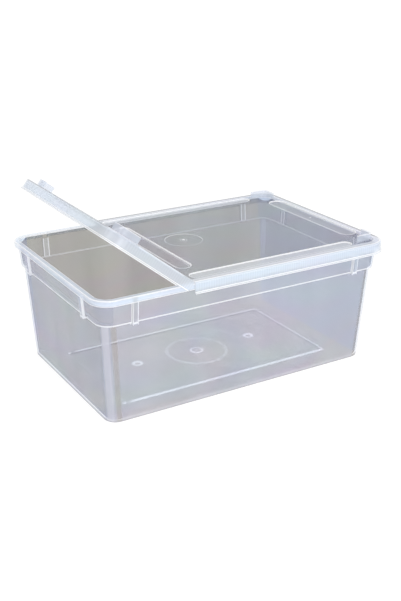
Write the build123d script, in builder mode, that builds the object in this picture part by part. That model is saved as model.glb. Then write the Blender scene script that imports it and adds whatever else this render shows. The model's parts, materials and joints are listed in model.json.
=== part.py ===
"""Clear plastic pet keeper: an open tub, a lid that lifts off and a hinged flap.

Millimetres, +Z up.  X runs along the long side, from the flap to the far end of
the lid, and Y runs from front to back.  The origin is the centre of the tub's
outline, on the surface that the tub stands on.  The flap is modelled shut and
then swung open about its hinge, which is how the keeper stands at rest.
"""

import os

from build123d import *

# ---- lid: the outline that everything else is worked out from ----
LID_LENGTH = 300.0  # over the bead at the foot of the skirt
LID_WIDTH = 200.0
LID_CORNER = 20.0  # corner radius of that outline
BEAD_PROUD = 0.8  # how far the bead stands out of the skirt
BEAD_HEIGHT = 1.6
BEAD_CHAMFER = 0.5
SKIRT_DEPTH = 10.5  # lid top down to the foot of the skirt
SKIRT_WALL = 1.2
PANEL_WALL = 1.6
LID_ROUND = 2.0  # rounding of the lid's top edge

# ---- tub ----
TUB_HEIGHT = 116.7  # floor to the top of the lip
FLOOR_WALL = 1.8
TUB_WALL = 1.5
LIP_CLEARANCE = 0.5  # between the lip and the inside of the lid's skirt
LIP_REACH = 3.1  # the lip's overhang beyond the collar
LIP_DEPTH = 5.3
LIP_WALL = 1.3
LIP_ROUND = 1.0
COLLAR_HEIGHT = 24.5  # shoulder up to the top of the lip
COLLAR_FLARE = 1.8  # the collar widens by this much on each side, going up
COLLAR_CORNER = 13.0
SHOULDER_STEP = 2.2  # the wall steps in by this much under the collar
WALL_DRAFT = 4.9  # the wall leans in by this much on each side, going down
WALL_CORNER = 12.0
BASE_ROUND = 2.0
FLOOR_ROUND = 2.5  # rounding inside, where the wall meets the floor

# ---- raised panel in the tub's floor, hollow underneath ----
PANEL_LENGTH = 218.0
PANEL_WIDTH = 120.0
PANEL_CORNER = 4.0
PANEL_RISE = 1.0

# ---- ribs on the outside of the collar ----
RIB_WIDTH = 5.0
RIB_PROUD = 2.2
RIB_FOOT = 1.4  # how far a rib hangs below the shoulder
RIB_X = 113.0  # front and back ribs
RIB_Y = 59.0  # end ribs

# ---- lid seat, hinge and flap ----
SEAT_GAP = 0.3  # lip top to the underside of the lid
HINGE_X = -60.0
HINGE_GAP = 0.6  # between the shut flap and the lid
FILM_RADIUS = 0.5
FILM_CLEARANCE = 0.08
FLAP_REST_ANGLE = 38.5  # how far the flap stands open at rest
TONGUE_LENGTH = 15.0  # beside the hinge the flap's skirt has no proud bead for this length
TONGUE_LIFT = 0.7  # and is this much shorter there
TONGUE_ROUND = 2.5

# ---- long round-ended channels pressed into the lid ----
CHANNEL_DEPTH = 1.0
CHANNEL_WEB = 1.2  # wall left under a channel
CHANNEL_ROUND = 0.4  # rounding of a channel's upper edge
SIDE_CHANNEL_WIDTH = 11.0
SIDE_CHANNEL_INSET = 10.0  # lid edge to the near side of a front or back channel
SIDE_CHANNEL_TO_END = 36.0  # lid end to the round end of a front or back channel
SIDE_CHANNEL_TO_HINGE = 4.0
END_CHANNEL_WIDTH = 17.0
END_CHANNEL_INSET = 9.0
END_CHANNEL_LENGTH = 130.0
HINGE_CHANNEL_WIDTH = 14.5
HINGE_CHANNEL_GAP = 4.5  # hinge line to the near side of the channel beside it

# ---- stacking tabs on the lid's corners, which hold the base of a box put on top ----
TAB_WALL = 1.6
TAB_HEIGHT = 6.5
TAB_ROUND = 0.5  # rounding along the top of a tab
TAB_CLEARANCE = 1.2
TAB_CORNER = 6.0
TAB_ARM_X = 18.5
TAB_ARM_Y = 16.0

# ---- marks left by the mould: gate nubs, the round land about each gate, ejector pins ----
GATE_RADIUS = 1.3
GATE_HEIGHT = 0.6
LID_GATE = (-13.0, 1.5)
LAND_STEP = 0.3  # how far a gate's land lies below the lid, or above the tub's floor
LID_LAND_RADIUS = 17.5
FLOOR_LAND_RADIUS = 29.0
FLOOR_PIP_RADIUS = 5.0  # inner ring of the floor's land
PIN_RADIUS = 5.0
PIN_STEP = 0.3
PIN_X = 63.0
PIN_Y = 4.0

# ---- heights and insets worked out from the sizes above ----
LID_UNDERSIDE = TUB_HEIGHT + SEAT_GAP
LID_TOP = LID_UNDERSIDE + PANEL_WALL
LID_FOOT = LID_TOP - SKIRT_DEPTH
FLOOR_TOP = FLOOR_WALL + PANEL_RISE  # top of the raised panel
SHOULDER_Z = TUB_HEIGHT - COLLAR_HEIGHT
LEDGE_Z = SHOULDER_Z + TUB_WALL  # the shoulder seen from inside
LIP_FOOT = TUB_HEIGHT - LIP_DEPTH

SKIRT_INSET = BEAD_PROUD
HOLLOW_INSET = SKIRT_INSET + SKIRT_WALL
LIP_INSET = HOLLOW_INSET + LIP_CLEARANCE
COLLAR_TOP_INSET = LIP_INSET + LIP_REACH
SHOULDER_INSET = COLLAR_TOP_INSET + COLLAR_FLARE
WALL_INSET = SHOULDER_INSET + SHOULDER_STEP
BASE_INSET = WALL_INSET + WALL_DRAFT
FLOOR_INSET = BASE_INSET - WALL_DRAFT * FLOOR_WALL / SHOULDER_Z + TUB_WALL
LEDGE_INSET = SHOULDER_INSET - COLLAR_FLARE * TUB_WALL / COLLAR_HEIGHT + TUB_WALL

HALF_GAP = HINGE_GAP / 2
HINGE_LINE = Axis((HINGE_X, 0, LID_TOP), (0, 1, 0))
FILM_LENGTH = LID_WIDTH - 2 * (SKIRT_INSET + LID_ROUND)
CHANNEL_RISE = CHANNEL_DEPTH + CHANNEL_WEB - PANEL_WALL  # below the lid's underside

STANDING = (Align.CENTER, Align.CENTER, Align.MIN)
HANGING = (Align.CENTER, Align.CENTER, Align.MAX)


def outline(inset, z, corner=None):
    """The lid's outline drawn in by an inset, as a face at one height."""
    radius = LID_CORNER - inset if corner is None else corner
    with BuildSketch(Plane.XY.offset(z)) as sketch:
        RectangleRounded(LID_LENGTH - 2 * inset, LID_WIDTH - 2 * inset, radius)
    return sketch.sketch.face()


def rib_section(half_size, plane):
    """Upright section of one rib: half_size is the lid's half length or half width."""
    wall_middle = half_size - WALL_INSET - TUB_WALL / 2
    collar_middle = half_size - SHOULDER_INSET - TUB_WALL / 2
    collar_top_middle = half_size - COLLAR_TOP_INSET - TUB_WALL / 2
    lip_middle = half_size - LIP_INSET - LIP_WALL / 2
    face_at_foot = half_size - SHOULDER_INSET + RIB_PROUD
    face_at_lip = face_at_foot + COLLAR_FLARE * (COLLAR_HEIGHT - LIP_DEPTH) / COLLAR_HEIGHT
    foot = SHOULDER_Z - RIB_FOOT
    ledge_middle = SHOULDER_Z + TUB_WALL / 2
    top_middle = TUB_HEIGHT - TUB_WALL / 2
    with BuildSketch(plane) as sketch:
        with BuildLine():
            Polyline(
                (wall_middle, foot),
                (face_at_foot, foot),
                (face_at_lip, LIP_FOOT),
                (lip_middle, LIP_FOOT),
                (lip_middle, top_middle),
                (collar_top_middle, top_middle),
                (collar_middle, ledge_middle),
                (wall_middle, ledge_middle),
                close=True,
            )
        make_face()
    return sketch.sketch.face()


def corner_tab(side_x, side_y):
    """Plan of one stacking tab: one corner of a rounded frame, with an arm each way."""
    length = LID_LENGTH - 2 * BASE_INSET + 2 * (TAB_CLEARANCE + TAB_WALL)
    width = LID_WIDTH - 2 * BASE_INSET + 2 * (TAB_CLEARANCE + TAB_WALL)
    middle = (side_x * (length - TAB_ARM_X) / 2, side_y * (width - TAB_ARM_Y) / 2)
    with BuildSketch(Plane.XY.offset(LID_TOP)) as sketch:
        RectangleRounded(length, width, TAB_CORNER)
        RectangleRounded(
            length - 2 * TAB_WALL,
            width - 2 * TAB_WALL,
            TAB_CORNER - TAB_WALL,
            mode=Mode.SUBTRACT,
        )
        with Locations(middle):
            Rectangle(TAB_ARM_X, TAB_ARM_Y, mode=Mode.INTERSECT)
    return sketch.sketch.face()


def channels(z, grow=0.0):
    """Plan of the lid's channels at one height, each widened all round by grow."""
    side_y = LID_WIDTH / 2 - SIDE_CHANNEL_INSET - SIDE_CHANNEL_WIDTH / 2
    lid_start = HINGE_X + SIDE_CHANNEL_TO_HINGE
    lid_end = LID_LENGTH / 2 - SIDE_CHANNEL_TO_END
    flap_start = -lid_end
    flap_end = HINGE_X - SIDE_CHANNEL_TO_HINGE
    end_x = LID_LENGTH / 2 - END_CHANNEL_INSET - END_CHANNEL_WIDTH / 2
    hinge_side_x = HINGE_X + HINGE_CHANNEL_GAP + HINGE_CHANNEL_WIDTH / 2
    with BuildSketch(Plane.XY.offset(z)) as sketch:
        for start, end in ((lid_start, lid_end), (flap_start, flap_end)):
            with Locations(((start + end) / 2, -side_y), ((start + end) / 2, side_y)):
                SlotOverall(end - start + 2 * grow, SIDE_CHANNEL_WIDTH + 2 * grow)
        with Locations((-end_x, 0), (end_x, 0)):
            SlotOverall(END_CHANNEL_LENGTH + 2 * grow, END_CHANNEL_WIDTH + 2 * grow, 90)
        with Locations((hinge_side_x, 0)):
            SlotOverall(END_CHANNEL_LENGTH + 2 * grow, HINGE_CHANNEL_WIDTH + 2 * grow, 90)
    return sketch.sketch.faces()


# ---- the tub's hollow: a drafted well, the wider collar above it, the floor panel ----
with BuildPart() as tub_hollow:
    loft(
        [
            outline(FLOOR_INSET, FLOOR_WALL, WALL_CORNER - TUB_WALL),
            outline(WALL_INSET + TUB_WALL, LEDGE_Z, WALL_CORNER - TUB_WALL),
        ],
        ruled=True,
    )
    fillet(tub_hollow.faces().sort_by(Axis.Z)[0].edges(), FLOOR_ROUND)
    loft(
        [
            outline(LEDGE_INSET, LEDGE_Z, COLLAR_CORNER - TUB_WALL),
            outline(COLLAR_TOP_INSET + TUB_WALL, TUB_HEIGHT, COLLAR_CORNER - TUB_WALL),
        ],
        ruled=True,
    )
    with BuildSketch(Plane.XY.offset(FLOOR_WALL)):
        RectangleRounded(PANEL_LENGTH, PANEL_WIDTH, PANEL_CORNER)
    extrude(amount=PANEL_RISE, mode=Mode.SUBTRACT)
    with Locations((0, 0, FLOOR_TOP)):
        Cylinder(FLOOR_LAND_RADIUS, LAND_STEP, align=STANDING, mode=Mode.SUBTRACT)
    with Locations((0, 0, FLOOR_TOP + LAND_STEP)):
        Cylinder(FLOOR_PIP_RADIUS, LAND_STEP, align=STANDING, mode=Mode.SUBTRACT)
    with Locations((-PIN_X, PIN_Y, FLOOR_TOP), (PIN_X, PIN_Y, FLOOR_TOP)):
        Cylinder(PIN_RADIUS, PIN_STEP, align=HANGING)

# ---- the outside of the collar, and the groove between it and the turned-down lip ----
with BuildPart() as collar:
    loft(
        [
            outline(SHOULDER_INSET, SHOULDER_Z, COLLAR_CORNER),
            outline(COLLAR_TOP_INSET, TUB_HEIGHT, COLLAR_CORNER),
        ],
        ruled=True,
    )

with BuildPart() as lip_groove:
    extrude(outline(LIP_INSET + LIP_WALL, LIP_FOOT), LIP_DEPTH - TUB_WALL)
    add(collar.part, mode=Mode.SUBTRACT)

# ---- ribs: one of each kind, mirrored to the other walls ----
with BuildPart() as ribs:
    extrude(rib_section(LID_WIDTH / 2, Plane.YZ.offset(RIB_X)), RIB_WIDTH / 2, both=True)
    extrude(rib_section(LID_LENGTH / 2, Plane.XZ.offset(RIB_Y)), RIB_WIDTH / 2, both=True)
    mirror(about=Plane.XZ)
    mirror(about=Plane.YZ)

# ---- tub ----
with BuildPart() as tub:
    loft(
        [
            outline(BASE_INSET, 0, WALL_CORNER),
            outline(WALL_INSET, SHOULDER_Z, WALL_CORNER),
        ],
        ruled=True,
    )
    fillet(tub.faces().sort_by(Axis.Z)[0].edges(), BASE_ROUND)
    add(collar.part)
    extrude(outline(LIP_INSET, LIP_FOOT), LIP_DEPTH)
    fillet(tub.faces().sort_by(Axis.Z)[-1].edges(), LIP_ROUND)
    add(lip_groove.part, mode=Mode.SUBTRACT)
    add(tub_hollow.part, mode=Mode.SUBTRACT)
    with BuildSketch(Plane.XY):
        RectangleRounded(PANEL_LENGTH, PANEL_WIDTH, PANEL_CORNER)
    extrude(amount=PANEL_RISE, mode=Mode.SUBTRACT)
    add(ribs.part)
    with Locations((0, 0, PANEL_RISE)):
        Cylinder(GATE_RADIUS, GATE_HEIGHT, align=HANGING)
tub.part.label = "tub"

# ---- the whole lid, shut: panel, skirt, bead, channels, tabs ----
with BuildPart() as shut_lid:
    extrude(outline(SKIRT_INSET, LID_FOOT), SKIRT_DEPTH)
    fillet(shut_lid.faces().sort_by(Axis.Z)[-1].edges(), LID_ROUND)
    extrude(outline(0, LID_FOOT), BEAD_HEIGHT)
    bead_top = shut_lid.faces().filter_by(Plane.XY).sort_by(Axis.Z)[1]
    chamfer(bead_top.outer_wire().edges(), BEAD_CHAMFER)
    extrude(outline(HOLLOW_INSET, LID_FOOT), LID_UNDERSIDE - LID_FOOT, mode=Mode.SUBTRACT)
    extrude(channels(LID_UNDERSIDE - CHANNEL_RISE, CHANNEL_WEB), CHANNEL_RISE)
    extrude(channels(LID_TOP - CHANNEL_DEPTH), CHANNEL_DEPTH, mode=Mode.SUBTRACT)
    lid_face = shut_lid.faces().sort_by(Axis.Z)[-1]
    fillet(lid_face.inner_wires().edges(), CHANNEL_ROUND)
    for side_x in (-1, 1):
        for side_y in (-1, 1):
            extrude(corner_tab(side_x, side_y), TAB_HEIGHT)
    tab_tops = shut_lid.faces().sort_by(Axis.Z)[-4:]
    fillet(tab_tops.edges(), TAB_ROUND)

# ---- film hinge: a round web on the hinge line ----
with BuildPart() as film_hinge:
    with Locations((HINGE_X, 0, LID_TOP)):
        Cylinder(FILM_RADIUS, FILM_LENGTH, rotation=(90, 0, 0))
film_hinge.part.label = "film_hinge"

# ---- fixed part of the lid ----
with BuildPart() as lid:
    add(shut_lid.part)
    split(bisect_by=Plane.YZ.offset(HINGE_X + HALF_GAP), keep=Keep.TOP)
    add(film_hinge.part, mode=Mode.SUBTRACT)
    with Locations((*LID_GATE, LID_TOP)):
        Cylinder(LID_LAND_RADIUS, LAND_STEP, align=HANGING, mode=Mode.SUBTRACT)
    with Locations((*LID_GATE, LID_TOP - LAND_STEP)):
        Cylinder(GATE_RADIUS, GATE_HEIGHT, align=STANDING)
lid.part.label = "lid"

# ---- flap, first shut ----
with BuildPart() as shut_flap:
    add(shut_lid.part)
    split(bisect_by=Plane.YZ.offset(HINGE_X - HALF_GAP), keep=Keep.BOTTOM)
    with Locations((HINGE_X, 0, LID_TOP)):
        Cylinder(
            FILM_RADIUS + FILM_CLEARANCE,
            LID_WIDTH,
            rotation=(90, 0, 0),
            mode=Mode.SUBTRACT,
        )
    # the tongue beside the hinge: no proud bead, and a slightly shorter skirt
    with BuildSketch(Plane.XY.offset(LID_FOOT)):
        with Locations((HINGE_X - TONGUE_LENGTH / 2, 0)):
            Rectangle(TONGUE_LENGTH, LID_WIDTH)
            Rectangle(TONGUE_LENGTH, LID_WIDTH - 2 * SKIRT_INSET, mode=Mode.SUBTRACT)
    extrude(amount=BEAD_HEIGHT, mode=Mode.SUBTRACT)
    with BuildSketch(Plane.XY.offset(LID_FOOT)):
        with Locations((HINGE_X - TONGUE_LENGTH / 2, 0)):
            Rectangle(TONGUE_LENGTH, LID_WIDTH)
    extrude(amount=TONGUE_LIFT, mode=Mode.SUBTRACT)
    tongue_ends = (
        shut_flap.edges()
        .filter_by(Axis.Y)
        .filter_by_position(Axis.X, HINGE_X - HINGE_GAP, HINGE_X)
        .filter_by_position(Axis.Z, LID_FOOT, LID_FOOT + BEAD_HEIGHT)
    )
    fillet(tongue_ends, TONGUE_ROUND)

with BuildPart() as flap:
    add(shut_flap.part.rotate(HINGE_LINE, FLAP_REST_ANGLE))
flap.part.label = "flap"

# ---- one file for each piece ----
os.makedirs("parts", exist_ok=True)
for piece in (tub.part, lid.part, flap.part, film_hinge.part):
    export_step(piece, f"parts/{piece.label}.step")
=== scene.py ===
"""Clear plastic pet keeper: plastics, floor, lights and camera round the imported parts.

Everything is in metres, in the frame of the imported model: X runs from the flap to the far end of the lid,
Y from front to back and Z up, with the origin under the middle of the tub.
"""

import json
import math

import bpy
import numpy as np
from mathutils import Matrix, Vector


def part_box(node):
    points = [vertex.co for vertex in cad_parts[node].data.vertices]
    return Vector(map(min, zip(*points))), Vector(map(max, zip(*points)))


bl_info = {
    "name": "Pet keeper finish",
    "version": (1, 0, 0),
    "blender": (4, 5, 0),
    "location": "View3D > Sidebar > Pet keeper",
    "description": "Finishes the clear plastic pet keeper and sets its stage",
    "category": "Object",
}

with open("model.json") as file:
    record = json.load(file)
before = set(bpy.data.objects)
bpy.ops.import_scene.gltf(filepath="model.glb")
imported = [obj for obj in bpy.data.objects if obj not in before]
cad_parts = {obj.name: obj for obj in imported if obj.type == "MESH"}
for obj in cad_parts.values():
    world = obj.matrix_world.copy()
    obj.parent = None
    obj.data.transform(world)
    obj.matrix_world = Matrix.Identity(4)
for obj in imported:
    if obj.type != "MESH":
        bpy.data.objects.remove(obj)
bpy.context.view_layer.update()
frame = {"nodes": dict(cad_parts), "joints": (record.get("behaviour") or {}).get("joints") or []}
MM = 0.001

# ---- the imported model's own sizes ----
HALF_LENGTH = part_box("lid")[1].x
HALF_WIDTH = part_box("lid")[1].y
TUB_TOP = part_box("tub")[1].z
HINGE = next(joint for joint in frame["joints"] if joint["name"] == "flap_hinge")
HINGE_X, _, LID_TOP = HINGE["pos_m"]
FLAP_ANGLE = math.radians(-HINGE["range_deg"][0])  # how far the flap stands open at rest

# ---- places on the tub that catch light ----
OUTLINE_CORNER = 20 * MM  # corner radius of the lid's outline, from which every inset is measured
SHOULDER_Z = 92.2 * MM
LIP_FOOT_Z = 111.4 * MM
LIP_OUTER_INSET = 3.0 * MM
LIP_INNER_INSET = 7.0 * MM
COLLAR_INSETS = (7.4 * MM, 5.6 * MM)  # outer face of the collar, at the shoulder and at the top
WALL_INSETS = (14.5 * MM, 9.6 * MM)  # outer face of the wall, at the foot and at the shoulder
WALL_CORNER = 12.5 * MM
HALF_WALL = 0.75 * MM
RIB_X = 113 * MM
RIB_Y = 59 * MM
RIB_HALF = 2.5 * MM
FLOOR_PANEL = (105 * MM, 56 * MM, 4 * MM)  # reach along X and Y to the corner's centre, corner radius
# a painted highlight runs along the floor panel's outline, wider along the back than along the front
PANEL_LINE = 2.2 * MM
PANEL_EDGE_Y = (57 * MM, 58 * MM)  # the panel's front and back edges begin between these
PANEL_WIDTHS = (0.75, 1.7)  # share of the outline's width along the front and along the back
PANEL_FLAP_X = (-108 * MM, -100 * MM)  # the outline fades between these, towards the flap's end
PANEL_FLAP_SHARE = 0.3
PANEL_SPIKE = (108.5 * MM, 59.5 * MM)  # glint at a corner of the floor's panel
SPIKE_HALF = 2.6 * MM
FLOOR_Z = 3.6 * MM  # everything below this, inside, is floor
UNDERSIDE_Z = 1.4 * MM
SEEN_INSIDE = 0.45  # share of the outer skin's marks that shows from inside
RIBS_INSIDE = 0.9
RIB_FILL = 0.5
# brightness of the painted highlights on the ribs' edges, the shoulder and the ledge inside
RIB_EDGE = 0.9
SHOULDER_LINE = 0.9
LEDGE_LINE = 0.6
LIGHT_STRIP = (0.24, 0.36, 0.6, 0.72)  # shares of the turn round an upright corner
SHADE_STRIP = (0.7, 0.8, 0.92, 1.0)
# rings and spots on the floor and on the lid, drawn as painted highlights: X and Y, radius, half the line's
# width, brightness
FLOOR_RINGS = (
    (0.0, 0.0, 5.5, 2.0, 1.0),
    (0.0, 0.0, 0.0, 2.0, 1.0),
    (0.0, 0.0, 29.0, 2.4, 0.7),
    (63.0, 4.0, 4.0, 2.6, 1.0),
    (-63.0, 4.0, 4.0, 2.6, 1.0),
)
LID_RINGS = (
    (-13.0, 1.5, 17.5, 0.9, 0.5),
    (-13.0, 1.5, 3.2, 0.8, 0.5),
    (-13.0, 1.5, 0.0, 2.0, 1.0),
    (132.5, 0.0, 0.0, 1.4, 0.9),
)

# ---- channels in the lid and the flap: middle X and Y, reach along X and Y, radius, share of painted light inside ----
CHANNELS = (
    (29.0, 84.5, 79.5, 0.0, 5.5, 0.75),
    (-89.0, 84.5, 19.5, 0.0, 5.5, 0.75),
    (132.5, 0.0, 0.0, 56.5, 8.5, 0.5),
    (-132.5, 0.0, 0.0, 56.5, 8.5, 0.5),
    (-48.25, 0.0, 0.0, 57.75, 7.25, 0.05),
)
RIBBING = 2600.0  # fine upright ribs along the skirt, in radians a metre
SKIRT_FOOT = -10.5 * MM  # heights below the lid's top
BEAD_TOP = -8.9 * MM
LID_EDGE_INSET = 2.4 * MM
SKIRT_MIDDLE_INSET = 1.4 * MM
BORDER_INSET = 9.5 * MM
ROUNDED_INSETS = (5.6 * MM, 6.6 * MM)  # the rounded edge ends between these
EDGE_LEAN = 0.32  # how far the top's normal leans outwards at the lid's outline
TAB_LINE_Z = 6.3 * MM  # painted highlight line near the top of a corner tab, above the lid's top
TAB_LINE = 0.8
TAB_FILL = 0.9
CHANNEL_FOOT = 0.5  # brightness of the painted highlight line at a channel's foot

# ---- the plastic itself ----
IOR = 1.49
HAZE_ROUGHNESS = 0.3
GLOSS_ROUGHNESS = 0.1
MIRROR_SHARE = 0.45  # share of the full mirror image that the gloss shows
FOOT_MIRROR = 0.2  # what is left of that at the tub's foot
FAR_EDGE_HAZE = 0.75
SILHOUETTE = (0.82, 0.97)  # turn from the eye over which painted shade darkens a skin's tint along its silhouette
FAR_EDGE = (0.78, 0.9)  # turn from the eye over which painted shade darkens the lid's edge
# painted shade multiplied into the end walls' milky colour
END_WALL_SHADE = (0.74, 0.78, 0.86)
LIGHT_THROUGH = (0.95, 0.95, 0.96)
STRESS_COLOURS = 0.2
STRESS_SCALE = (9.0, 9.0, 16.0)
CLOUD_SCALE = (26.0, 26.0, 2.5)
CLOUD_REACH = 0.12
WAVE_SCALE = 45.0
WAVE_STRENGTH = 0.25
WAVE_DEPTH = 0.6 * MM

# ---- the floor ----
FLOOR_HALF = 6.0
FLOOR_THROWS = 0.8  # brightness for light that it throws back
FLOOR_SHOWS = 0.4  # brightness where it is seen
FLOOR_FAR = (0.35, 0.9)  # distances between which its glow rises
FLOOR_FAR_GLOW = 0.8


# ---- settings ----
def colour_setting(name, description, default):
    """A colour that a user may change."""
    return bpy.props.FloatVectorProperty(
        name=name, description=description, subtype="COLOR", size=3, min=0, max=1, default=default
    )


def share_setting(name, description, default):
    """A share from 0 to 1 that a user may change."""
    return bpy.props.FloatProperty(
        name=name, description=description, subtype="FACTOR", min=0, max=1, default=default
    )


def length_setting(name, description, default):
    """A length in metres that a user may change."""
    return bpy.props.FloatProperty(
        name=name,
        description=description,
        subtype="DISTANCE",
        unit="LENGTH",
        precision=5,
        default=default,
    )


class KeeperTub(bpy.types.PropertyGroup):
    """Plastic of the tub."""

    outside_colour: colour_setting(
        "Outside colour", "Milky colour of the outer skin", (0.76, 0.80, 0.95)
    )
    # painted shade: the tub's inner skin has a dark milky colour
    inside_colour: colour_setting(
        "Inside colour", "Milky colour of the inner skin", (0.16, 0.155, 0.15)
    )
    thick_colour: colour_setting(
        "Lip colour", "Colour of the lip and the ribs, where the plastic is thick", (0.76, 0.86, 1.0)
    )
    # painted highlight: edges and drawn lines are coloured near white
    highlight_colour: colour_setting(
        "Edge colour", "Colour of edges, where the plastic gathers light", (0.95, 0.97, 1.0)
    )
    corner_light: colour_setting(
        "Corner light", "Colour of the bright strip along an upright corner", (0.80, 0.83, 1.0)
    )
    corner_shade: colour_setting(
        "Corner shade", "Colour of the shaded strip along an upright corner", (0.60, 0.585, 0.59)
    )
    # painted shade: the tub's inner skin lets through only about half, though the plastic is clear
    inside_tint: colour_setting(
        "Inside tint", "What the inner skin lets through", (0.47, 0.455, 0.445)
    )
    outside_tint: colour_setting(
        "Outside tint", "What the outer skin lets through", (0.92, 0.94, 0.98)
    )
    # painted shade: the end walls' inner skin lets through less, and bluer
    end_shade_tint: colour_setting(
        "End tint", "What the inner skin of an end wall lets through", (0.40, 0.42, 0.49)
    )
    # upright clouds: partly cloudy plastic, partly painted bands of light and shade
    clouds: share_setting("Clouds", "How much upright clouds darken and brighten the plastic", 0.06)
    outside_haze: share_setting("Outside haze", "Milky share of the outer skin", 0.30)
    inside_haze: share_setting("Inside haze", "Milky share of the inner skin", 0.20)
    thick_haze: share_setting("Lip haze", "Milky share of the lip", 0.55)
    strip_haze: share_setting("Corner haze", "Milky share added along an upright corner", 0.14)
    highlight_haze: share_setting("Edge haze", "Milky share at an edge", 0.85)
    edge_radius: length_setting("Edge radius", "Width of the bright line at an edge", 0.0005)


class KeeperCover(bpy.types.PropertyGroup):
    """Plastic of the lid, the flap and the film hinge."""

    outside_colour: colour_setting(
        "Outside colour", "Milky colour of the top skin", (0.50, 0.53, 0.60)
    )
    inside_colour: colour_setting(
        "Inside colour", "Milky colour of the underside", (0.42, 0.43, 0.46)
    )
    thick_colour: colour_setting(
        "Skirt colour", "Colour of the skirt, where the plastic is thick", (0.80, 0.88, 0.97)
    )
    # painted highlight: edges and drawn lines are coloured near white
    highlight_colour: colour_setting(
        "Edge colour", "Colour of edges, where the plastic gathers light", (0.97, 0.98, 1.0)
    )
    # painted light: the lid's border, its channels and the skirt's inside are coloured lighter
    corner_light: colour_setting(
        "Border colour", "Colour of the border, the channels and the skirt's inside", (0.86, 0.89, 0.96)
    )
    # painted shade along the lid's edge where it turns from the eye
    corner_shade: colour_setting(
        "Far edge", "Colour of an edge that turns away from the eye", (0.22, 0.23, 0.26)
    )
    inside_tint: colour_setting(
        "Inside tint", "What the underside lets through", (0.90, 0.91, 0.93)
    )
    outside_tint: colour_setting(
        "Outside tint", "What the top skin lets through", (0.80, 0.825, 0.89)
    )
    # clouds: partly cloudy plastic, partly painted bands of light and shade
    clouds: share_setting("Clouds", "How much clouds darken and brighten the plastic", 0.015)
    outside_haze: share_setting("Outside haze", "Milky share of the top skin", 0.15)
    inside_haze: share_setting("Inside haze", "Milky share of the underside", 0.2)
    thick_haze: share_setting("Skirt haze", "Milky share of the skirt", 0.56)
    # painted light: milky share that carries the border's lighter colour
    strip_haze: share_setting("Border haze", "Milky share added on the border and in the channels", 0.45)
    highlight_haze: share_setting("Edge haze", "Milky share at an edge", 0.9)
    edge_radius: length_setting("Edge radius", "Width of the bright line at an edge", 0.0005)


class KeeperStage(bpy.types.PropertyGroup):
    """Camera, lamps and floor."""

    lens: bpy.props.FloatProperty(
        name="Lens",
        description="Focal length of the camera in millimetres",
        subtype="DISTANCE_CAMERA",
        min=10.0,
        max=300.0,
        default=56.12,
    )
    camera_place: bpy.props.FloatVectorProperty(
        name="Camera place",
        description="Where the camera stands",
        subtype="TRANSLATION",
        unit="LENGTH",
        size=3,
        default=(-0.42427, -0.71586, 0.39305),
    )
    camera_turn: bpy.props.FloatProperty(
        name="Camera turn",
        description="How far the camera looks from straight back towards the far end",
        subtype="ANGLE",
        default=math.radians(30.916),
    )
    camera_tilt: bpy.props.FloatProperty(
        name="Camera tilt",
        description="How far the camera looks down",
        subtype="ANGLE",
        default=math.radians(22.075),
    )
    key_power: bpy.props.FloatProperty(
        name="Key power",
        description="Power of the large lamp in front",
        subtype="POWER",
        unit="POWER",
        min=0.0,
        default=4.5,
    )
    strip_power: bpy.props.FloatProperty(
        name="Strip power",
        description="Power of each narrow lamp that draws glints along the edges",
        subtype="POWER",
        unit="POWER",
        min=0.0,
        default=1.6,
    )
    ambient: bpy.props.FloatProperty(
        name="Ambient",
        description="Strength of the light that comes from all round",
        min=0.0,
        max=2.0,
        default=0.72,
    )
    floor_glow: bpy.props.FloatProperty(
        name="Floor glow",
        description="What the floor adds of its own where it is seen directly",
        min=0.0,
        max=1.0,
        default=0.66,
    )


# ---- short ways to build nodes ----
def add_node(tree, kind, **settings):
    """A new node with its settings given."""
    made = tree.nodes.new(kind)
    for name, value in settings.items():
        setattr(made, name, value)
    return made


def feed(tree, value, socket):
    """Links an output to a socket, or writes a plain value on it."""
    if isinstance(value, bpy.types.NodeSocket):
        tree.links.new(value, socket)
    else:
        socket.default_value = value


def maths(tree, operation, *values, clamp=False):
    """The result of one Math node."""
    made = add_node(tree, "ShaderNodeMath", operation=operation, use_clamp=clamp)
    for value, socket in zip(values, made.inputs):
        feed(tree, value, socket)
    return made.outputs[0]


def vectors(tree, operation, *values):
    """The result of one Vector Math node."""
    made = add_node(tree, "ShaderNodeVectorMath", operation=operation)
    for value, socket in zip(values, made.inputs):
        feed(tree, value, socket)
    return made.outputs["Value" if operation in ("DOT_PRODUCT", "LENGTH") else "Vector"]


def split_vector(tree, vector):
    """The X, Y and Z of a vector."""
    made = add_node(tree, "ShaderNodeSeparateXYZ")
    tree.links.new(vector, made.inputs[0])
    return made.outputs[0], made.outputs[1], made.outputs[2]


def join_vector(tree, x, y, z):
    """A vector from its X, Y and Z."""
    made = add_node(tree, "ShaderNodeCombineXYZ")
    for value, socket in zip((x, y, z), made.inputs):
        feed(tree, value, socket)
    return made.outputs[0]


def ramp(tree, value, low, high, to_low=0.0, to_high=1.0):
    """value carried from the range low to high into to_low to to_high, held at both ends."""
    made = add_node(tree, "ShaderNodeMapRange", clamp=True)
    for given, name in (
        (value, "Value"),
        (low, "From Min"),
        (high, "From Max"),
        (to_low, "To Min"),
        (to_high, "To Max"),
    ):
        feed(tree, given, made.inputs[name])
    return made.outputs["Result"]


def blend_numbers(tree, share, first, second):
    """first where share is 0 and second where it is 1."""
    made = add_node(tree, "ShaderNodeMix", data_type="FLOAT", clamp_factor=True)
    feed(tree, share, made.inputs["Factor"])
    feed(tree, first, made.inputs["A"])
    feed(tree, second, made.inputs["B"])
    return made.outputs["Result"]


def colour(value):
    """A colour with its alpha, as colour sockets want it."""
    return (*value, 1.0)


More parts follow.
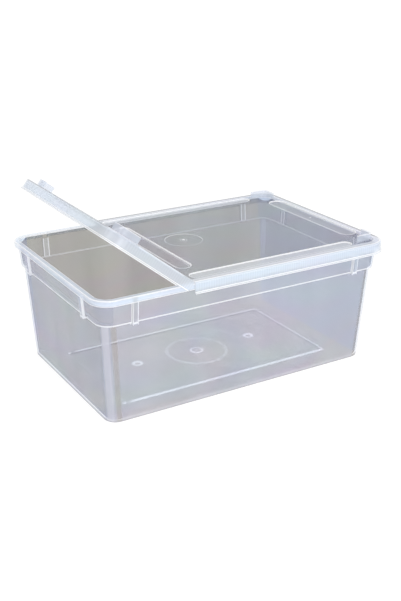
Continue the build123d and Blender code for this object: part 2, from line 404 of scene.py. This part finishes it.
def blend_colours(tree, share, first, second, how="MIX"):
    """Two colours mixed by share."""
    made = add_node(tree, "ShaderNodeMix", data_type="RGBA", blend_type=how, clamp_factor=True)
    sockets = [s for s in made.inputs if s.type == "RGBA"]
    feed(tree, share, made.inputs["Factor"])
    for value, socket in zip((first, second), sockets):
        feed(tree, value, socket)
    return [s for s in made.outputs if s.type == "RGBA"][0]


def mix_shaders(tree, share, first, second):
    """One shader where share is 0 and the other where it is 1."""
    made = add_node(tree, "ShaderNodeMixShader")
    feed(tree, share, made.inputs[0])
    tree.links.new(first, made.inputs[1])
    tree.links.new(second, made.inputs[2])
    return made.outputs[0]


SOCKETS = {"number": "NodeSocketFloat", "vector": "NodeSocketVector", "colour": "NodeSocketColor"}


def new_group(name, takes, gives):
    """An empty node group: takes maps each input to its default, gives each output to its kind."""
    group = bpy.data.node_groups.new(name, "ShaderNodeTree")
    for label, value in takes.items():
        kind = "vector" if isinstance(value, tuple) else "number"
        socket = group.interface.new_socket(label, in_out="INPUT", socket_type=SOCKETS[kind])
        socket.default_value = value
    for label, kind in gives.items():
        group.interface.new_socket(label, in_out="OUTPUT", socket_type=SOCKETS[kind])
    return group, group.nodes.new("NodeGroupInput").outputs, group.nodes.new("NodeGroupOutput")


def give(group, result, values):
    """Links values to a group's outputs by name."""
    for name, value in values.items():
        feed(group, value, result.inputs[name])


def use_group(tree, name, **values):
    """The outputs of a shared node group whose inputs, with spaces as underscores, are given."""
    group = bpy.data.node_groups.get(name) or GROUPS[name]()
    made = add_node(tree, "ShaderNodeGroup", node_tree=group)
    for label, value in values.items():
        feed(tree, value, made.inputs[label.replace("_", " ")])
    return made.outputs


# ---- masks ----
def between(tree, value, low, high):
    """1 where value lies from low to high."""
    above = maths(tree, "GREATER_THAN", value, low)
    return maths(tree, "MULTIPLY", above, maths(tree, "LESS_THAN", value, high))


def line(tree, value, middle, half):
    """A soft line where value is near middle, half wide to each side."""
    away = maths(tree, "ABSOLUTE", maths(tree, "SUBTRACT", value, middle))
    return ramp(tree, away, half * 0.45, half, 1.0, 0.0)


def bump(tree, value, start, rise_end, fall_start, end):
    """Rises from start to rise_end and falls from fall_start to end."""
    rise = ramp(tree, value, start, rise_end)
    return maths(tree, "MULTIPLY", rise, ramp(tree, value, fall_start, end, 1.0, 0.0))


def both(tree, *masks):
    """The product of several masks."""
    result = masks[0]
    for mask in masks[1:]:
        result = maths(tree, "MULTIPLY", result, mask)
    return result


def either(tree, *masks):
    """The largest of several masks."""
    result = masks[0]
    for mask in masks[1:]:
        result = maths(tree, "MAXIMUM", result, mask)
    return result


# ---- effects that several plastics share ----
def edge_light_group():
    """Edges, where highlights are painted: how far, in radians, a normal rounded over the edge radius turns
    from the flat one.
    """
    group, takes, result = new_group(
        "edge_light", {"Radius": 0.001, "Gain": 3.0}, {"Mask": "number", "Normal": "vector"}
    )
    rounded = add_node(group, "ShaderNodeBevel", samples=8)
    group.links.new(takes["Radius"], rounded.inputs["Radius"])
    flat = add_node(group, "ShaderNodeNewGeometry").outputs["Normal"]
    same = vectors(group, "DOT_PRODUCT", rounded.outputs["Normal"], flat)
    turned = maths(group, "SQRT", maths(group, "SUBTRACT", 1.0, same, clamp=True))
    shifted = maths(group, "SUBTRACT", turned, 0.12)
    mask = maths(group, "MULTIPLY", shifted, takes["Gain"], clamp=True)
    give(group, result, {"Mask": mask, "Normal": rounded.outputs["Normal"]})
    return group


def outline_distance_group():
    """Distance in plan from a rounded rectangle, negative inside it.

    With the place folded into one quarter and the corner's centre taken away, it is the length of what is
    left above 0, plus the larger of the two coordinates where both are below 0, less the corner radius.
    """
    takes = {
        "Place": (0.0, 0.0, 0.0),
        "Middle X": 0.0,
        "Middle Y": 0.0,
        "Reach X": 0.1,
        "Reach Y": 0.1,
        "Corner": 0.01,
    }
    group, takes, result = new_group("outline_distance", takes, {"Distance": "number"})
    x, y, _ = split_vector(group, takes["Place"])
    beyond = []
    for value, axis in ((x, "X"), (y, "Y")):
        from_middle = maths(group, "SUBTRACT", value, takes[f"Middle {axis}"])
        folded = maths(group, "ABSOLUTE", from_middle)
        beyond.append(maths(group, "SUBTRACT", folded, takes[f"Reach {axis}"]))
    outside = [maths(group, "MAXIMUM", value, 0.0) for value in beyond]
    length = vectors(group, "LENGTH", join_vector(group, *outside, 0.0))
    inside = maths(group, "MINIMUM", either(group, *beyond), 0.0)
    distance = maths(group, "SUBTRACT", maths(group, "ADD", length, inside), takes["Corner"])
    give(group, result, {"Distance": distance})
    return group


def moulding_flow_group():
    """What moulding leaves in clear plastic, faint stress colours and waves, and upright clouds that are
    partly cloudy plastic and partly painted bands of light and shade.
    """
    group, takes, result = new_group(
        "moulding_flow_and_light_bands",
        {"Place": (0.0, 0.0, 0.0), "Stress": 0.1},
        {"Tint": "colour", "Cloud": "number", "Height": "number"},
    )
    place = takes["Place"]
    slanted = vectors(group, "MULTIPLY", place, STRESS_SCALE)
    stress = add_node(group, "ShaderNodeTexNoise", noise_dimensions="3D")
    stress.inputs["Scale"].default_value = 1.0
    stress.inputs["Detail"].default_value = 1.5
    stress.inputs["Distortion"].default_value = 1.6
    group.links.new(slanted, stress.inputs["Vector"])
    centred = vectors(group, "SUBTRACT", stress.outputs["Color"], (0.5, 0.5, 0.5))
    grey = vectors(group, "DOT_PRODUCT", centred, (1 / 3, 1 / 3, 1 / 3))
    hue = vectors(group, "SUBTRACT", centred, join_vector(group, grey, grey, grey))
    strength = join_vector(group, takes["Stress"], takes["Stress"], takes["Stress"])
    tint = vectors(group, "ADD", (1.0, 1.0, 1.0), vectors(group, "MULTIPLY", hue, strength))

    cloud = add_node(group, "ShaderNodeTexNoise", noise_dimensions="3D")
    cloud.inputs["Scale"].default_value = 1.0
    cloud.inputs["Detail"].default_value = 2.0
    group.links.new(vectors(group, "MULTIPLY", place, CLOUD_SCALE), cloud.inputs["Vector"])
    wave = add_node(group, "ShaderNodeTexNoise", noise_dimensions="3D")
    wave.inputs["Scale"].default_value = WAVE_SCALE
    wave.inputs["Detail"].default_value = 1.0
    group.links.new(place, wave.inputs["Vector"])
    give(
        group,
        result,
        {
            "Tint": tint,
            "Cloud": maths(group, "SUBTRACT", cloud.outputs["Fac"], 0.5),
            "Height": wave.outputs["Fac"],
        },
    )
    return group


# masks of every plastic, and what the tub's and the cover's groups give besides
MASKS = dict.fromkeys(
    ("Outer", "Thick", "Line", "Light strip", "Shade strip", "Foot", "Sharp"), "number"
)
TUB_MASKS = {**MASKS, "End wall shade": "number"}
COVER_MASKS = {**MASKS, "Rounded": "number", "Rounded normal": "vector"}


def plan_distance(group, place, middle_x, middle_y, reach_x, reach_y, corner):
    """Distance in plan from a rounded rectangle."""
    return use_group(
        group,
        "outline_distance",
        Place=place,
        Middle_X=middle_x,
        Middle_Y=middle_y,
        Reach_X=reach_x,
        Reach_Y=reach_y,
        Corner=corner,
    )["Distance"]


def inset_from_outline(group, place):
    """How far a place lies inside the lid's outline, in plan."""
    reach = (HALF_LENGTH - OUTLINE_CORNER, HALF_WIDTH - OUTLINE_CORNER)
    distance = plan_distance(group, place, 0.0, 0.0, *reach, OUTLINE_CORNER)
    return maths(group, "MULTIPLY", distance, -1.0)


def ring_marks(group, place, rings):
    """Rings and spots, drawn as soft painted highlight lines, each with its own brightness."""
    marks = 0.0
    for x, y, radius, half, strength in rings:
        ring = plan_distance(group, place, x * MM, y * MM, 0.0, 0.0, radius * MM)
        drawn = line(group, ring, 0.0, half * MM)
        marks = either(group, maths(group, "MULTIPLY", drawn, strength), marks)
    return marks


def tub_masks_group():
    """Where the tub is outside or thick, and where highlights along its edges and lines, the light and shade
    strips of an upright corner and the end walls' shade are painted, by place.
    """
    group, _, result = new_group("tub_masks", {}, TUB_MASKS)
    place = add_node(group, "ShaderNodeTexCoord").outputs["Object"]
    x, y, height = split_vector(group, place)
    along = maths(group, "ABSOLUTE", x)
    across = maths(group, "ABSOLUTE", y)
    inset = inset_from_outline(group, place)

    # how far the outer face of the wall or the collar lies inside the outline at this height
    above = maths(group, "GREATER_THAN", height, SHOULDER_Z + HALF_WALL)
    wall_face = ramp(group, height, 0.0, SHOULDER_Z, *WALL_INSETS)
    collar_face = ramp(group, height, SHOULDER_Z, TUB_TOP, *COLLAR_INSETS)
    centre = maths(group, "ADD", blend_numbers(group, above, wall_face, collar_face), WALL_CORNER)
    reach_x = maths(group, "SUBTRACT", HALF_LENGTH, centre)
    reach_y = maths(group, "SUBTRACT", HALF_WIDTH, centre)
    depth = plan_distance(group, place, 0.0, 0.0, reach_x, reach_y, WALL_CORNER)
    outer = either(
        group,
        maths(group, "GREATER_THAN", depth, -HALF_WALL),
        maths(group, "LESS_THAN", height, UNDERSIDE_Z),
    )
    inner = maths(group, "SUBTRACT", 1.0, outer)
    seen = blend_numbers(group, outer, SEEN_INSIDE, 1.0)

    # lip: thick all through, with painted highlight lines along its two upper edges and its foot
    at_top = maths(group, "GREATER_THAN", height, TUB_TOP - 1.4 * MM)
    in_lip = both(
        group,
        maths(group, "GREATER_THAN", height, LIP_FOOT_Z - 0.2 * MM),
        maths(group, "LESS_THAN", inset, LIP_INNER_INSET),
    )
    lip_edges = either(
        group,
        both(group, line(group, inset, LIP_OUTER_INSET, 0.7 * MM), at_top),
        both(group, line(group, inset, LIP_INNER_INSET + 0.1 * MM, 0.9 * MM), at_top),
        both(group, line(group, height, LIP_FOOT_Z + 0.2 * MM, 0.7 * MM), in_lip),
    )

    # ribs: on the collar, and standing out of it
    collar = between(group, height, SHOULDER_Z - 2 * MM, LIP_FOOT_Z)
    off_side_rib = maths(group, "ABSOLUTE", maths(group, "SUBTRACT", along, RIB_X))
    off_end_rib = maths(group, "ABSOLUTE", maths(group, "SUBTRACT", across, RIB_Y))
    on_side = maths(group, "GREATER_THAN", across, HALF_WIDTH - 10 * MM)
    on_end = maths(group, "GREATER_THAN", along, HALF_LENGTH - 10 * MM)
    rib = either(
        group,
        both(group, on_side, maths(group, "LESS_THAN", off_side_rib, RIB_HALF + 0.3 * MM)),
        both(group, on_end, maths(group, "LESS_THAN", off_end_rib, RIB_HALF + 0.3 * MM)),
    )
    rib_edges = either(
        group,
        both(group, on_side, line(group, off_side_rib, RIB_HALF, 0.8 * MM)),
        both(group, on_end, line(group, off_end_rib, RIB_HALF, 0.8 * MM)),
    )
    through = blend_numbers(group, outer, RIBS_INSIDE, 1.0)
    rib = both(group, rib, collar, through, RIB_FILL)
    rib_edges = both(group, rib_edges, collar, through, RIB_EDGE)

    # shoulder, floor panel and the rings on the floor: painted highlight lines
    shoulder_line = line(group, height, SHOULDER_Z + 0.4 * MM, 1.3 * MM)
    shoulder = both(group, outer, shoulder_line, SHOULDER_LINE)
    ledge_line = line(group, height, SHOULDER_Z + 1.5 * MM, 0.5 * MM)
    ledge = both(group, inner, ledge_line, LEDGE_LINE)
    panel = plan_distance(group, place, 0.0, 0.0, *FLOOR_PANEL)
    quarter = join_vector(group, along, across, height)
    spike = plan_distance(group, quarter, *PANEL_SPIKE, 0.0, 0.0, 0.0)
    floor = both(group, between(group, height, UNDERSIDE_Z, FLOOR_Z), inner)
    near, far = PANEL_EDGE_Y
    front, back = PANEL_WIDTHS
    widened = maths(
        group,
        "MULTIPLY",
        ramp(group, y, -far, -near, front, 1.0),
        ramp(group, y, near, far, 1.0, back),
    )
    narrowed = maths(group, "DIVIDE", panel, widened)
    faded = ramp(group, x, *PANEL_FLAP_X, PANEL_FLAP_SHARE, 1.0)
    floor_lines = either(
        group,
        both(group, line(group, narrowed, 0.0, PANEL_LINE), faded),
        line(group, spike, 0.0, SPIKE_HALF),
        ring_marks(group, place, FLOOR_RINGS),
    )

    # upright corners: an angle from 0 on the end walls to 1 on the side walls
    past_x = maths(group, "SUBTRACT", along, reach_x)
    past_y = maths(group, "SUBTRACT", across, reach_y)
    round_the_corner = maths(
        group,
        "ARCTAN2",
        maths(group, "MAXIMUM", past_y, 0.0),
        maths(group, "MAXIMUM", past_x, 0.0001 * MM),
    )
    turn = maths(group, "DIVIDE", round_the_corner, math.pi / 2)
    wall = both(group, between(group, height, 1.5 * MM, SHOULDER_Z), seen)

    give(
        group,
        result,
        {
            "Outer": either(group, outer, in_lip),
            "Thick": either(group, in_lip, rib),
            "Line": either(
                group, lip_edges, rib_edges, shoulder, ledge, both(group, floor, floor_lines)
            ),
            "Light strip": both(group, bump(group, turn, *LIGHT_STRIP), wall),
            "Shade strip": both(group, bump(group, turn, *SHADE_STRIP), wall),
            "Foot": both(group, outer, ramp(group, height, 2.5 * MM, 4.5 * MM, 1.0, 0.0)),
            "Sharp": ramp(group, height, 4 * MM, 6 * MM),
            "End wall shade": maths(group, "GREATER_THAN", along, HALF_LENGTH - 18 * MM),
        },
    )
    return group


def cover_masks_group():
    """Where the lid or the flap is outside or thick, and where highlights, light and shade are painted on
    it, by its place with the lid shut.

    A place is turned back about the hinge by the angle that the piece stands open.
    """
    group, takes, result = new_group("cover_masks", {"Open": 0.0}, COVER_MASKS)
    turn = add_node(group, "ShaderNodeVectorRotate", rotation_type="Y_AXIS")
    turn.inputs["Center"].default_value = (HINGE_X, 0.0, LID_TOP)
    group.links.new(add_node(group, "ShaderNodeTexCoord").outputs["Object"], turn.inputs["Vector"])
    group.links.new(maths(group, "MULTIPLY", takes["Open"], -1.0), turn.inputs["Angle"])
    place = turn.outputs[0]
    x, y, z = split_vector(group, place)
    height = maths(group, "SUBTRACT", z, LID_TOP)
    folded = join_vector(group, x, maths(group, "ABSOLUTE", y), z)
    inset = inset_from_outline(group, place)

    tab = maths(group, "GREATER_THAN", height, 0.4 * MM)
    in_skirt = maths(group, "LESS_THAN", inset, SKIRT_MIDDLE_INSET)
    outer = either(group, maths(group, "GREATER_THAN", height, -1.3 * MM), in_skirt)
    edge = both(group, maths(group, "LESS_THAN", inset, LID_EDGE_INSET), outer)
    swing = maths(group, "SINE", maths(group, "MULTIPLY", maths(group, "ADD", x, y), RIBBING))
    ribbed = ramp(group, swing, -1.0, 1.0, 0.94, 1.0)
    top = between(group, height, -1.25 * MM, 0.4 * MM)
    # painted light on the lid's border, in its channels and on the skirt's inside
    border = both(group, top, ramp(group, inset, BORDER_INSET - 2 * MM, BORDER_INSET, 1.0, 0.0))
    skirt_inside = both(
        group,
        maths(group, "LESS_THAN", height, -1.8 * MM),
        maths(group, "SUBTRACT", 1.0, in_skirt),
        maths(group, "LESS_THAN", inset, 2.3 * MM),
    )
    # painted highlight lines: bead, skirt foot, the lid's edge, the tabs, and the channels' rims and feet
    lines = either(
        group,
        both(group, line(group, height, BEAD_TOP, 0.6 * MM), edge),
        both(group, line(group, height, SKIRT_FOOT + 0.3 * MM, 0.7 * MM), edge),
        both(group, line(group, inset, LID_EDGE_INSET, 0.8 * MM), top),
        both(group, tab, line(group, height, TAB_LINE_Z, 0.6 * MM), TAB_LINE),
    )
    lit_border_and_channels = border
    for middle_x, middle_y, reach_x, reach_y, radius, light_fill in CHANNELS:
        sizes = (middle_x * MM, middle_y * MM, reach_x * MM, reach_y * MM, radius * MM)
        channel = plan_distance(group, folded, *sizes)
        rim = line(group, channel, 0.2 * MM, 0.85 * MM)
        foot = maths(group, "MULTIPLY", line(group, channel, -1.6 * MM, 0.7 * MM), CHANNEL_FOOT)
        lines = either(group, lines, both(group, either(group, rim, foot), top))
        within = ramp(group, channel, -1.0 * MM, 0.0, light_fill, 0.0)
        lit_border_and_channels = either(group, lit_border_and_channels, both(group, within, top))
    rings = both(group, ring_marks(group, place, LID_RINGS), top)

    # the top's normal, leaning outwards more and more towards the lid's outline, which places the painted
    # shade on the far edge
    beyond = []
    for value, half in ((x, HALF_LENGTH), (y, HALF_WIDTH)):
        over = maths(group, "SUBTRACT", maths(group, "ABSOLUTE", value), half - OUTLINE_CORNER)
        over = maths(group, "MAXIMUM", over, 0.0)
        beyond.append(maths(group, "MULTIPLY", over, maths(group, "SIGN", value)))
    outwards = vectors(group, "NORMALIZE", join_vector(group, *beyond, 0.0))
    lean = ramp(group, inset, 4.0 * MM, 7.0 * MM, EDGE_LEAN, 0.0)
    leaning = vectors(group, "MULTIPLY", outwards, join_vector(group, lean, lean, lean))
    swung = add_node(group, "ShaderNodeVectorRotate", rotation_type="Y_AXIS")
    group.links.new(vectors(group, "ADD", leaning, (0.0, 0.0, 1.0)), swung.inputs["Vector"])
    group.links.new(takes["Open"], swung.inputs["Angle"])
    to_world = add_node(
        group,
        "ShaderNodeVectorTransform",
        vector_type="NORMAL",
        convert_from="OBJECT",
        convert_to="WORLD",
    )
    group.links.new(swung.outputs[0], to_world.inputs[0])
    give(
        group,
        result,
        {
            "Outer": outer,
            "Thick": either(group, both(group, edge, ribbed), both(group, tab, TAB_FILL)),
            "Line": either(group, lines, rings),
            "Light strip": either(group, lit_border_and_channels, skirt_inside),
            "Shade strip": 0.0,
            "Foot": 0.0,
            "Sharp": 1.0,
            "Rounded": both(group, top, ramp(group, inset, *ROUNDED_INSETS, 1.0, 0.0)),
            "Rounded normal": to_world.outputs[0],
        },
    )
    return group


GROUPS = {
    "edge_light": edge_light_group,
    "outline_distance": outline_distance_group,
    "moulding_flow_and_light_bands": moulding_flow_group,
    "tub_masks": tub_masks_group,
    "cover_masks": cover_masks_group,
}


def clear_plastic(name, plastic, masks_name, **takes):
    """Clear, slightly milky plastic.

    What is behind shows through a tint, which on the tub's inner skin is painted shade, and a lit milky
    share lies over it. Highlights are painted along edges, and a gloss mirrors the room. Only faces that
    look at the eye count, so each wall counts once. Light itself passes almost freely.
    """
    made = bpy.data.materials.new(name)
    made.use_nodes = True
    tree = made.node_tree
    tree.nodes.clear()
    output = add_node(tree, "ShaderNodeOutputMaterial")
    masks = use_group(tree, masks_name, **takes)
    has_end_walls = "End wall shade" in masks
    has_rounded_edge = "Rounded" in masks
    outer = masks["Outer"]
    edges = use_group(tree, "edge_light", Radius=plastic.edge_radius, Gain=2.0)
    place = add_node(tree, "ShaderNodeTexCoord").outputs["Object"]
    flow = use_group(tree, "moulding_flow_and_light_bands", Place=place, Stress=STRESS_COLOURS)
    back = add_node(tree, "ShaderNodeNewGeometry").outputs["Backfacing"]
    front = maths(tree, "SUBTRACT", 1.0, back)
    # painted highlight along edges and drawn lines
    edge = either(tree, both(tree, edges["Mask"], masks["Sharp"]), masks["Line"])
    facing = add_node(tree, "ShaderNodeLayerWeight").outputs["Facing"]
    silhouette_shade = both(tree, outer, ramp(tree, facing, *SILHOUETTE))

    waves = add_node(tree, "ShaderNodeBump")
    waves.inputs["Strength"].default_value = WAVE_STRENGTH
    waves.inputs["Distance"].default_value = WAVE_DEPTH
    tree.links.new(flow["Height"], waves.inputs["Height"])
    tree.links.new(edges["Normal"], waves.inputs["Normal"])
    normal = waves.outputs["Normal"]

    # on the tub, the inner skin's dark tint is painted shade
    tint = blend_colours(tree, outer, colour(plastic.inside_tint), colour(plastic.outside_tint))
    tint = blend_colours(tree, 1.0, tint, flow["Tint"], how="MULTIPLY")
    # painted shade on the end walls
    if has_end_walls:
        end_shade_inside = both(tree, masks["End wall shade"], maths(tree, "SUBTRACT", 1.0, outer))
        tint = blend_colours(tree, end_shade_inside, tint, colour(plastic.end_shade_tint))
    # painted shade: along silhouettes and at the tub's foot the skin takes the darker inside tint
    silhouette_and_foot_shade = either(tree, masks["Foot"], silhouette_shade)
    tint = blend_colours(tree, silhouette_and_foot_shade, tint, colour(plastic.inside_tint))
    # upright clouds darken and lighten the tint: partly cloudy plastic, partly painted bands of light and
    # shade
    clouds = (1.0 - plastic.clouds, 1.0 + plastic.clouds)
    shade = ramp(tree, flow["Cloud"], -CLOUD_REACH, CLOUD_REACH, *clouds)
    tint = blend_colours(tree, 1.0, tint, join_vector(tree, shade, shade, shade), how="MULTIPLY")
    clear_back = blend_colours(tree, back, tint, colour((1.0, 1.0, 1.0)))
    see_through = add_node(tree, "ShaderNodeBsdfTransparent")
    tree.links.new(clear_back, see_through.inputs["Color"])

    # on the tub, the inner skin's dark milky colour is painted shade
    body = blend_colours(
        tree, outer, colour(plastic.inside_colour), colour(plastic.outside_colour)
    )
    body = blend_colours(tree, 1.0, body, flow["Tint"], how="MULTIPLY")
    if has_end_walls:
        body = blend_colours(tree, masks["End wall shade"], body, colour(END_WALL_SHADE), how="MULTIPLY")
    body = blend_colours(tree, masks["Shade strip"], body, colour(plastic.corner_shade))
    body = blend_colours(tree, masks["Light strip"], body, colour(plastic.corner_light))
    body = blend_colours(tree, masks["Thick"], body, colour(plastic.thick_colour))
    body = blend_colours(tree, edge, body, colour(plastic.highlight_colour))
    hazes = [
        maths(tree, "MULTIPLY", masks["Thick"], plastic.thick_haze),
        maths(tree, "MULTIPLY", edge, plastic.highlight_haze),
    ]
    # painted shade on the lid's edge where it turns from the eye
    if has_rounded_edge:
        turned = add_node(tree, "ShaderNodeLayerWeight")
        tree.links.new(masks["Rounded normal"], turned.inputs["Normal"])
        far_edge_shade = both(tree, masks["Rounded"], ramp(tree, turned.outputs["Facing"], *FAR_EDGE))
        body = blend_colours(tree, far_edge_shade, body, colour(plastic.corner_shade))
        hazes.append(maths(tree, "MULTIPLY", far_edge_shade, FAR_EDGE_HAZE))
    haze = add_node(tree, "ShaderNodeBsdfPrincipled")
    haze.inputs["IOR"].default_value = IOR
    tree.links.new(body, haze.inputs["Base Color"])
    haze.inputs["Roughness"].default_value = HAZE_ROUGHNESS
    tree.links.new(normal, haze.inputs["Normal"])

    share = blend_numbers(tree, outer, plastic.inside_haze, plastic.outside_haze)
    strips = maths(tree, "MULTIPLY", masks["Light strip"], plastic.strip_haze)
    share = either(tree, maths(tree, "ADD", share, strips), *hazes)
    milky = mix_shaders(
        tree, maths(tree, "MULTIPLY", share, front), see_through.outputs[0], haze.outputs[0]
    )

    gloss = add_node(tree, "ShaderNodeBsdfGlossy")
    gloss.inputs["Roughness"].default_value = GLOSS_ROUGHNESS
    tree.links.new(normal, gloss.inputs["Normal"])
    mirror = add_node(tree, "ShaderNodeFresnel")
    mirror.inputs["IOR"].default_value = IOR
    tree.links.new(normal, mirror.inputs["Normal"])
    at_foot = blend_numbers(tree, masks["Foot"], 1.0, FOOT_MIRROR)
    mirrored = both(tree, mirror.outputs[0], MIRROR_SHARE, front, at_foot)
    look = mix_shaders(tree, mirrored, milky, gloss.outputs[0])

    path = add_node(tree, "ShaderNodeLightPath").outputs
    light = either(tree, path["Is Shadow Ray"], path["Is Diffuse Ray"])
    free = add_node(tree, "ShaderNodeBsdfTransparent")
    free.inputs["Color"].default_value = colour(LIGHT_THROUGH)
    finish = mix_shaders(tree, light, look, free.outputs[0])
    tree.links.new(finish, output.inputs["Surface"])
    return made


def set_material(node, material):
    """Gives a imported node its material."""
    piece = frame["nodes"][node]
    piece.data.materials.clear()
    piece.data.materials.append(material)


# ---- operators ----
class KEEPER_OT_tub_finish(bpy.types.Operator):
    """Finishes the tub"""

    bl_idname = "keeper.tub_finish"
    bl_label = "Finish the tub"

    def execute(self, context):
        plastic = context.scene.keeper_tub
        set_material("tub", clear_plastic("tub_plastic", plastic, "tub_masks"))
        return {"FINISHED"}


class KEEPER_OT_lid_finish(bpy.types.Operator):
    """Finishes the lid, the flap and the film hinge"""

    bl_idname = "keeper.lid_finish"
    bl_label = "Finish the lid and flap"

    def execute(self, context):
        plastic = context.scene.keeper_cover
        lid_plastic = clear_plastic("lid_plastic", plastic, "cover_masks", Open=0.0)
        flap_plastic = clear_plastic("flap_plastic", plastic, "cover_masks", Open=FLAP_ANGLE)
        set_material("lid", lid_plastic)
        set_material("film_hinge", lid_plastic)
        set_material("flap", flap_plastic)
        return {"FINISHED"}


class KEEPER_OT_stage(bpy.types.Operator):
    """Makes the floor, the lamps, the world and the camera"""

    bl_idname = "keeper.stage"
    bl_label = "Set the stage"

    def execute(self, context):
        stage = context.scene.keeper_stage
        make_floor(stage)
        make_lamps(stage)
        make_world(stage)
        make_camera(stage)
        context.scene.view_settings.view_transform = "Standard"
        context.scene.cycles.transparent_max_bounces = 32
        return {"FINISHED"}


def seen_directly(tree):
    """1 for rays that show the background: from the camera, off gloss and through plastic."""
    path = add_node(tree, "ShaderNodeLightPath").outputs
    return either(tree, path["Is Camera Ray"], path["Is Glossy Ray"], path["Is Transmission Ray"])


def make_floor(stage):
    """A large plain floor, white where it is seen and pale where it throws light back."""
    corners = FLOOR_HALF * np.array([(-1, -1, 0), (1, -1, 0), (1, 1, 0), (-1, 1, 0)])
    mesh = bpy.data.meshes.new("floor")
    mesh.from_pydata(corners.tolist(), [], [(0, 1, 2, 3)])
    floor = bpy.data.objects.new("floor", mesh)
    bpy.context.scene.collection.objects.link(floor)
    made = bpy.data.materials.new("floor_white")
    made.use_nodes = True
    tree = made.node_tree
    tree.nodes.clear()
    output = add_node(tree, "ShaderNodeOutputMaterial")
    direct = seen_directly(tree)
    pale = blend_numbers(tree, direct, FLOOR_THROWS, FLOOR_SHOWS)
    paint = add_node(tree, "ShaderNodeBsdfDiffuse")
    tree.links.new(join_vector(tree, pale, pale, pale), paint.inputs["Color"])
    place = add_node(tree, "ShaderNodeTexCoord").outputs["Object"]
    off = vectors(tree, "LENGTH", place)
    far = ramp(tree, off, *FLOOR_FAR, stage.floor_glow, FLOOR_FAR_GLOW)
    glow = add_node(tree, "ShaderNodeEmission")
    tree.links.new(maths(tree, "MULTIPLY", direct, far), glow.inputs["Strength"])
    sum_up = add_node(tree, "ShaderNodeAddShader")
    tree.links.new(paint.outputs[0], sum_up.inputs[0])
    tree.links.new(glow.outputs[0], sum_up.inputs[1])
    tree.links.new(sum_up.outputs[0], output.inputs["Surface"])
    mesh.materials.append(made)


def make_lamp(name, place, target, width, height, power):
    """One area lamp, turned to a point."""
    lamp = bpy.data.lights.new(name, "AREA")
    lamp.shape = "RECTANGLE"
    lamp.size = width
    lamp.size_y = height
    lamp.energy = power
    holder = bpy.data.objects.new(name, lamp)
    bpy.context.scene.collection.objects.link(holder)
    place = np.array(place)
    towards = np.array(target) - place
    flat = math.hypot(towards[0], towards[1])
    holder.location = place
    holder.rotation_euler = (
        math.pi / 2 + math.atan2(towards[2], flat),
        0.0,
        math.atan2(-towards[0], towards[1]),
    )


def make_lamps(stage):
    """A large soft lamp in front, a weaker one at the left, and narrow ones for glints on edges."""
    middle = (0.0, 0.0, 0.06)
    make_lamp("key_lamp", (-0.2, -1.1, 0.5), middle, 0.9, 0.6, stage.key_power)
    make_lamp("left_lamp", (-1.5, -0.1, 0.7), middle, 0.8, 0.8, stage.key_power * 0.1)
    make_lamp("front_strip", (-0.1, -0.75, 1.0), middle, 1.5, 0.06, stage.strip_power)
    make_lamp("left_strip", (-1.0, 0.1, 0.9), middle, 1.3, 0.06, stage.strip_power * 0.5)
    make_lamp("back_strip", (0.3, 0.8, 1.3), middle, 1.5, 0.06, stage.strip_power)


def make_world(stage):
    """White where it is seen, and a plain level of light from all round."""
    world = bpy.data.worlds.new("studio")
    bpy.context.scene.world = world
    world.use_nodes = True
    tree = world.node_tree
    tree.nodes.clear()
    output = add_node(tree, "ShaderNodeOutputWorld")
    light = add_node(tree, "ShaderNodeBackground")
    light.inputs["Color"].default_value = (1, 1, 1, 1)
    strength = blend_numbers(tree, seen_directly(tree), stage.ambient, 1.0)
    tree.links.new(strength, light.inputs["Strength"])
    tree.links.new(light.outputs[0], output.inputs["Surface"])


def make_camera(stage):
    """The camera, level from side to side, turned and tilted as the stage says."""
    lens = bpy.data.cameras.new("camera")
    lens.lens = stage.lens
    lens.sensor_width = 36.0
    lens.clip_end = 50.0
    camera = bpy.data.objects.new("camera", lens)
    bpy.context.scene.collection.objects.link(camera)
    camera.location = stage.camera_place
    camera.rotation_euler = (math.pi / 2 - stage.camera_tilt, 0.0, -stage.camera_turn)
    bpy.context.scene.camera = camera


class KEEPER_PT_panel(bpy.types.Panel):
    """Lists the steps in the sidebar"""

    bl_idname = "KEEPER_PT_panel"
    bl_label = "Pet keeper"
    bl_space_type = "VIEW_3D"
    bl_region_type = "UI"
    bl_category = "Pet keeper"

    def draw(self, context):
        for step in STEPS:
            self.layout.operator(step.bl_idname)


STEPS = (KEEPER_OT_tub_finish, KEEPER_OT_lid_finish, KEEPER_OT_stage)
CLASSES = (KeeperTub, KeeperCover, KeeperStage, *STEPS, KEEPER_PT_panel)


def register():
    """Registers the classes and hangs the settings on the scene."""
    for cls in CLASSES:
        bpy.utils.register_class(cls)
    bpy.types.Scene.keeper_tub = bpy.props.PointerProperty(type=KeeperTub)
    bpy.types.Scene.keeper_cover = bpy.props.PointerProperty(type=KeeperCover)
    bpy.types.Scene.keeper_stage = bpy.props.PointerProperty(type=KeeperStage)


def unregister():
    """Takes the settings and the classes away again."""
    del bpy.types.Scene.keeper_stage
    del bpy.types.Scene.keeper_cover
    del bpy.types.Scene.keeper_tub
    for cls in reversed(CLASSES):
        bpy.utils.unregister_class(cls)


def main():
    """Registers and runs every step."""
    register()
    bpy.ops.keeper.tub_finish()
    bpy.ops.keeper.lid_finish()
    bpy.ops.keeper.stage()


if __name__ == "__main__":
    main()
